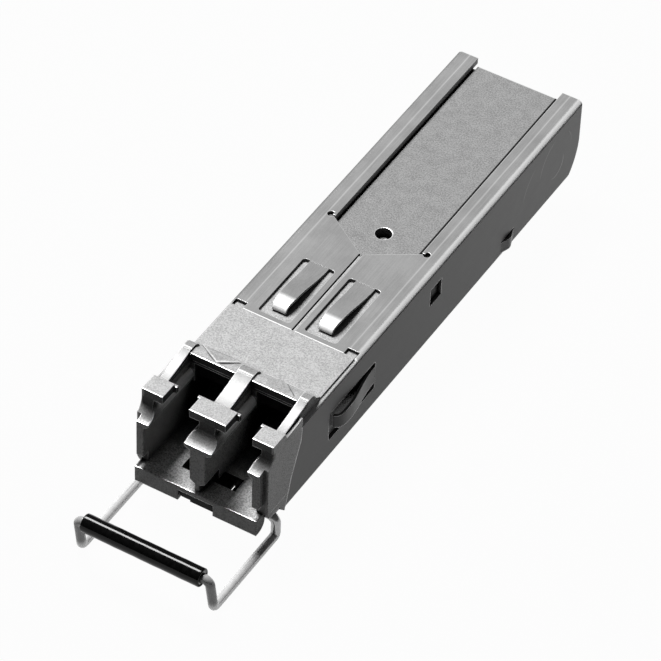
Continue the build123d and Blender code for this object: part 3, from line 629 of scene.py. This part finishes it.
# %% Who wears what
worn_by = {
    "body_casting": zinc,
    "shell": shell_steel,
    "bail_wire": bright_wire,
    "bail_sleeve": black_tube,
    "latch_lever": lever_shade_steel,
    "latch_pivot_pin": latch_steel,
    "latch_spring": spring_steel,
    "optics_clamp": latch_steel,
    "circuit_board": board_green,
    "edge_contacts": contact_gold,
    "driver_chip": chip_black,
    "amplifier_chip": chip_black,
    "memory_chip": chip_black,
    "controller_chip": chip_black,
    "chip_capacitors": capacitor_tan,
    "power_inductors": chip_black,
    "board_screw": latch_steel,
}
for optic in ("transmitter", "receiver"):
    worn_by[optic + "_barrel"] = barrel_steel
    worn_by[optic + "_split_sleeve"] = ceramic_white
    worn_by[optic + "_fibre_stub"] = ceramic_white
    worn_by[optic + "_can"] = can_gold
    worn_by[optic + "_flex_circuit"] = flex_amber
for node_name, finish in worn_by.items():
    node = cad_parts[node_name]
    node.data.materials.clear()
    node.data.materials.append(finish.material)
print(len(worn_by), "nodes dressed;", sorted(set(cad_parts) - set(worn_by)), "left")

# %% [markdown]
# The bail
# The bail is one wire: up out of its pivot under the nose, forward along both sides, up, and
# across. Bent wire keeps its round section, so a circle carried along a path is its true form.
# The path is a list of corners, each swapped for an arc that touches both of its runs.


# %% Paths and tubes
def rounded_path(corners, radii, steps=12):
    """Points along straight runs joined by arcs, one radius for each inner corner.

    At each corner the arc starts at distance r / tan(a / 2) from it, a being the angle between
    the two runs, and turns round the centre that lies at r / sin(a / 2) on their bisector.
    """
    corners = [np.array(c, float) for c in corners]
    points = [corners[0][None]]
    for before, corner, after, radius in zip(corners, corners[1:], corners[2:], radii):
        back = (before - corner) / np.linalg.norm(before - corner)
        ahead = (after - corner) / np.linalg.norm(after - corner)
        half = np.arccos(np.clip(back @ ahead, -1, 1)) / 2
        bisector = (back + ahead) / np.linalg.norm(back + ahead)
        centre = corner + bisector * radius / sin(half)
        first = corner + back * radius / np.tan(half) - centre
        last = corner + ahead * radius / np.tan(half) - centre
        whole = pi - 2 * half
        turn = np.linspace(0, whole, steps)[:, None]
        arc = (np.sin(whole - turn) * first + np.sin(turn) * last) / sin(whole)
        points.append(centre + arc)
    points.append(corners[-1][None])
    return np.vstack(points)


# The dome that closes a wire's end: parts of the radius, and parts of the tip's length
DOME_RADIUS = np.array([0.55, 0.83, 0.97])
DOME_PLACE = np.array([[0.0], [0.18], [0.5]])


def tube(path, radius, sides=28, tip=0.12):
    """A circle carried along a path, closed by domes at both ends.

    Each ring is centre + r (cos v * side + sin v * up). The two axes turn with the path and
    never about it: each step only removes what points along the new direction.
    """
    ahead = np.gradient(path, axis=0)
    ahead /= np.linalg.norm(ahead, axis=1)[:, None]
    carried = np.cross(ahead[0], (0.3, 0.5, 0.8))
    turned = []
    for direction in ahead:
        carried = carried - (carried @ direction) * direction
        carried = carried / np.linalg.norm(carried)
        turned.append(carried)
    side = np.array(turned)
    up = np.cross(ahead, side)
    starts = path[0] + ahead[0] * tip * (DOME_PLACE - 0.5)
    ends = path[-1] + ahead[-1] * tip * (0.5 - DOME_PLACE[::-1])
    centres = np.vstack([starts, path[1:-1], ends])
    side, up = (np.vstack([a[:1]] * 3 + [a[1:-1]] + [a[-1:]] * 3) for a in (side, up))
    whole = np.ones(len(path) - 2)
    swell = radius * np.concatenate([DOME_RADIUS, whole, DOME_RADIUS[::-1]])
    v = np.linspace(0, 2 * pi, sides, endpoint=False)[None, :, None]
    ring = np.cos(v) * side[:, None] + np.sin(v) * up[:, None]
    return centres[:, None] + swell[:, None, None] * ring


# %% Bail wire
WIRE = 0.44
PIVOT = (FRONT + 2.24, 0.46)
STUB_X = 1.76
ARM_X = 6.76
CORNER_X = 6.7
ARM_Z = PIVOT[1] - 2.16
CORNER_Y = PIVOT[0] - 10.14
BAR = (CORNER_Y - 0.6, ARM_Z + 3.8)
half_wire = [
    (STUB_X, *PIVOT),
    (ARM_X, *PIVOT),
    (ARM_X, PIVOT[0], ARM_Z),
    (ARM_X, CORNER_Y, ARM_Z),
    (CORNER_X, *BAR),
]
whole_wire = half_wire + [(-x, y, z) for x, y, z in reversed(half_wire)]
half_bends = [0.75, 0.42, 0.5, 0.62]
wire_path = rounded_path(whole_wire, half_bends + half_bends[::-1])
wire_mesh = grid_mesh("bail_wire_bent", tube(wire_path, WIRE), wrap_v=True, caps=True)
place(wire_mesh, "bail", bright_wire, ["bail_wire"])

# %% [markdown]
# The tube on the bail's bar
# A short length of black tubing turns freely on the wire. A profile turned about the bar gives
# it: wall, rounded rims and bore in one closed loop, with a faint swell so that its highlight
# isn't a ruled line.


# %% Black tube
TUBE_HALF = 6.02
TUBE_OUTER = 0.875
TUBE_INNER = WIRE + 0.02
TUBE_RIM = 0.1


def turned_tube(half_length, outer, inner, rim, turns=48):
    """A profile (along x, radius) turned about the bar: x stays, y and z are r cos v, r sin v.

    The wall's radius swells by a sin(1.9 x) + b sin(4.7 x + 1), some microns in all.
    """
    bend = np.linspace(0, pi / 2, 5)
    end = half_length - rim
    right = np.column_stack([end + rim * np.sin(bend), outer - rim + rim * np.cos(bend)])
    wall = np.linspace(-end, end, 40)
    swell = 0.006 * np.sin(wall * 1.9) + 0.004 * np.sin(wall * 4.7 + 1)
    top = np.column_stack([wall, outer + swell])
    left = right[::-1] * (-1, 1)
    bore = np.array([[half_length, inner], [-half_length, inner]])
    loop = np.vstack([left, top[1:-1], right, bore])
    v = np.linspace(0, 2 * pi, turns, endpoint=False)
    radius = loop[:, 1][:, None]
    y = BAR[0] + radius * np.cos(v)
    z = BAR[1] + radius * np.sin(v)
    return np.stack([np.broadcast_to(loop[:, :1], y.shape), y, z], axis=-1)


sleeve_grid = turned_tube(TUBE_HALF, TUBE_OUTER, TUBE_INNER, TUBE_RIM)
sleeve_mesh = grid_mesh("bail_tube", sleeve_grid, wrap_u=True, wrap_v=True)
place(sleeve_mesh, "bail", black_tube, ["bail_sleeve"])

# %% [markdown]
# Forms added to the casting
# On the real casting each arm rises in one sweep to its hump, the brow over the ports has a
# worn, even skin, and a plain rib shows in the slot between the shell's two halves. All three are
# the same kind of form: a side profile, drawn in Y and Z, that keeps its shape across the module.
# So one helper pushes a profile between two places on X, and each piece only draws its profile.


# %% Cast prisms
def cast_prism(name, profile, left, right):
    """A closed profile of (y, z) points pushed from left to right along X, closed at both ends."""
    rows = [np.column_stack([np.full(len(profile), x), profile]) for x in (left, right)]
    mesh = grid_mesh(name, np.stack(rows), wrap_v=True, caps=True, smooth=False)
    return place(mesh, "module", zinc)


# %% Sweeps up to the humps
SWEEP_FOOT, SWEEP_LOW, SWEEP_HIGH = 8.8, 9.02, 9.88
sweep_y = np.linspace(3.56, 7.68, 14)
part = (sweep_y - sweep_y[0]) / (sweep_y[-1] - sweep_y[0])
# A shallow parabola from the catch block to the hump: z = low + rise (0.6 t + 0.4 t^2)
sweep_z = SWEEP_LOW + (SWEEP_HIGH - SWEEP_LOW) * (0.6 * part + 0.4 * part**2)
sweep_foot = [(sweep_y[-1], SWEEP_FOOT), (sweep_y[0], SWEEP_FOOT)]
sweep = np.vstack([np.column_stack([sweep_y, sweep_z]), sweep_foot]) + (FRONT, 0.0)
cast_prism("hump_sweep_left", sweep, -6.38, -5.52)
cast_prism("hump_sweep_centre", sweep, -0.8, 0.8)
cast_prism("hump_sweep_right", sweep, 5.52, 6.38)

# %% Brow and seam
# The brow is level at the mouth, then runs straight down to the top of the nose
brow_top = [(7.43, 9.68), (8.3, 9.68), (8.42, 9.63), (9.7, 8.75), (9.88, 8.63)]
brow_foot = [(9.88, 8.5), (7.6, 8.9), (7.43, 8.9)]
cast_prism("brow_skin", np.array(brow_top + brow_foot) + (FRONT, 0.0), -6.37, 6.37)
rib_profile = np.array([(-12.6, 8.4), (-1.1, 8.4), (-1.1, 8.1), (-12.6, 8.1)])
cast_prism("seam_rib", rib_profile, -0.06, 0.16)

# %% [markdown]
# The table and its light
# A product shot like this one has a white table and one soft box, high up at the back left. The
# tops catch it and stay bright, and the near side falls into shade. The table is white to the
# camera and in reflections, but a plain pale floor to any other ray, so that it doesn't flood the
# shaded side with light. It stays a little short of pure white to keep the object's shadow.

# %% Floor
FLOOR = ARM_Z - WIRE - 0.03
FLOOR_HALF = 600.0
FLOOR_GLOW = 0.97


def pale_floor():
    """White to the camera and to reflections; to lit rays it is a plain pale floor."""
    finish = Finish("pale_floor")
    rays = finish.tree.nodes.new("ShaderNodeLightPath")
    kinds = ("Is Camera Ray", "Is Glossy Ray", "Is Transmission Ray")
    camera, mirrored, through = (Signal(finish, rays.outputs[kind]) for kind in kinds)
    seen = (camera + mirrored + through).clamp()
    finish.wear(Base_Color=(0.2, 0.2, 0.2, 1.0), Roughness=0.9, Specular_IOR_Level=0.0)
    glow = finish.add("ShaderNodeEmission", {}, {"Color": (1.0, 1.0, 1.0, 1.0)})
    surface = Signal(finish, finish.shader.outputs[0])
    mixed = finish.add("ShaderNodeMixShader", {}, {0: seen * FLOOR_GLOW, 1: surface, 2: glow})
    finish.tree.links.new(mixed.socket, finish.tree.nodes["Material Output"].inputs[0])
    return finish


corners = [(-1, 1), (1, 1), (1, -1), (-1, -1)]
floor_points = [(x * FLOOR_HALF * MM, y * FLOOR_HALF * MM, FLOOR * MM) for x, y in corners]
floor_mesh = bpy.data.meshes.new("floor")
floor_mesh.from_pydata(floor_points, [], [(3, 2, 1, 0)])
floor = bpy.data.objects.new("floor", floor_mesh)
floor.data.materials.append(pale_floor().material)
bpy.context.scene.collection.objects.link(floor)


# %% Lamp and world
LAMP_SIZE = 170
LAMP_WATTS = 3.4
WORLD_STRENGTH = 0.03


def soft_box(name, place_mm, target_mm, size_mm, watts):
    """A square area lamp that faces a target."""
    lamp = bpy.data.lights.new(name, "AREA")
    lamp.shape = "RECTANGLE"
    lamp.size = lamp.size_y = size_mm * MM
    lamp.energy = watts
    holder = bpy.data.objects.new(name, lamp)
    holder.location = Vector(place_mm) * MM
    facing = Vector(target_mm) * MM - holder.location
    holder.rotation_euler = facing.to_track_quat("-Z", "Y").to_euler()
    bpy.context.scene.collection.objects.link(holder)
    return holder


soft_box("key", (-190, 125, 410), (0, 125, 4), LAMP_SIZE, LAMP_WATTS)

world = bpy.data.worlds.new("studio")
bpy.context.scene.world = world
world.use_nodes = True
world.node_tree.nodes["Background"].inputs[0].default_value = (1.0, 1.0, 1.0, 1.0)
world.node_tree.nodes["Background"].inputs[1].default_value = WORLD_STRENGTH
bpy.context.scene.view_settings.view_transform = "Standard"

# %% [markdown]
# The camera
# The picture was taken with a long lens from the right of the nose, looking down at about 44
# degrees, with the camera turned a little about its own axis.


# %% Camera
SENSOR = 36.0


def studio_camera(azimuth, elevation, roll, distance, lens, target):
    """A camera on a sphere round its target, turned about its axis by roll.

    With b the unit vector from the target to the eye, the level axis is r = (-b) x up, and the
    upright axis r x (-b). Roll turns both about b. Lengths are in mm and angles in degrees.
    """
    az, el, turn = (radians(angle) for angle in (azimuth, elevation, roll))
    back = Vector((sin(az) * cos(el), -cos(az) * cos(el), sin(el)))
    right = (-back).cross(Vector((0, 0, 1))).normalized()
    up = right.cross(-back)
    level = cos(turn) * right + sin(turn) * up
    upright = -sin(turn) * right + cos(turn) * up
    place_of_eye = (Vector(target) + distance * back) * MM
    lens_data = bpy.data.cameras.new("camera")
    lens_data.sensor_width = SENSOR
    lens_data.lens = lens
    lens_data.clip_start = 0.01
    camera = bpy.data.objects.new("camera", lens_data)
    turned = Matrix((level, upright, back)).transposed().to_4x4()
    camera.matrix_world = Matrix.Translation(place_of_eye) @ turned
    bpy.context.scene.collection.objects.link(camera)
    return camera


bpy.context.scene.camera = studio_camera(
    azimuth=29.6004,
    elevation=44.3022,
    roll=2.2723,
    distance=389.739,
    lens=6.58301 * SENSOR,
    target=(0.49707, -6.73104, 4.0),
)
